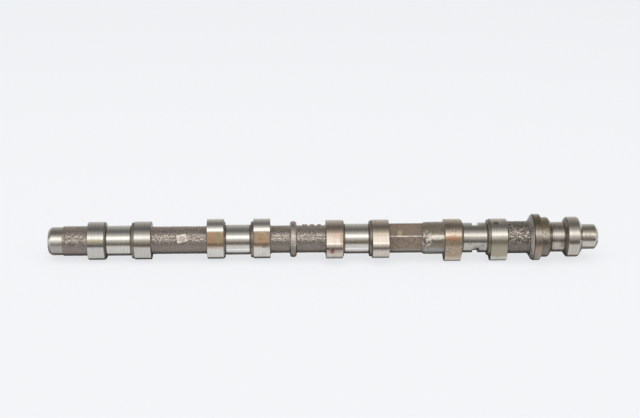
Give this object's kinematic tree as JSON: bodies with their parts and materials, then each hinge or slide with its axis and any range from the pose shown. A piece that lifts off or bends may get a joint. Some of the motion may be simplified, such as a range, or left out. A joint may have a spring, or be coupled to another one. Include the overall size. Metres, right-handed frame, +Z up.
{
  "type": "camshaft",
  "caption": "Cast camshaft with paired lobes about ground journals, cast bars, a wrench hexagon, a rimmed flange, a thrust collar and a turned drive nose.",
  "frame": {"origin": "on the shaft's axis, at the shoulder where the drive nose leaves the thrust collar", "axes": "+X along the shaft, out of the drive nose; +Z up and -Y to the front, as the shaft lies on a flat surface"},
  "size_m": [0.4392, 0.0372, 0.0372],
  "materials": {
    "cast_iron": "as cast on the bars, ground bright on journals and lobes, with brown and olive oil stains"
  },
  "bodies": {
    "root": {"camshaft": "cast_iron"}
  },
  "joints": []
}
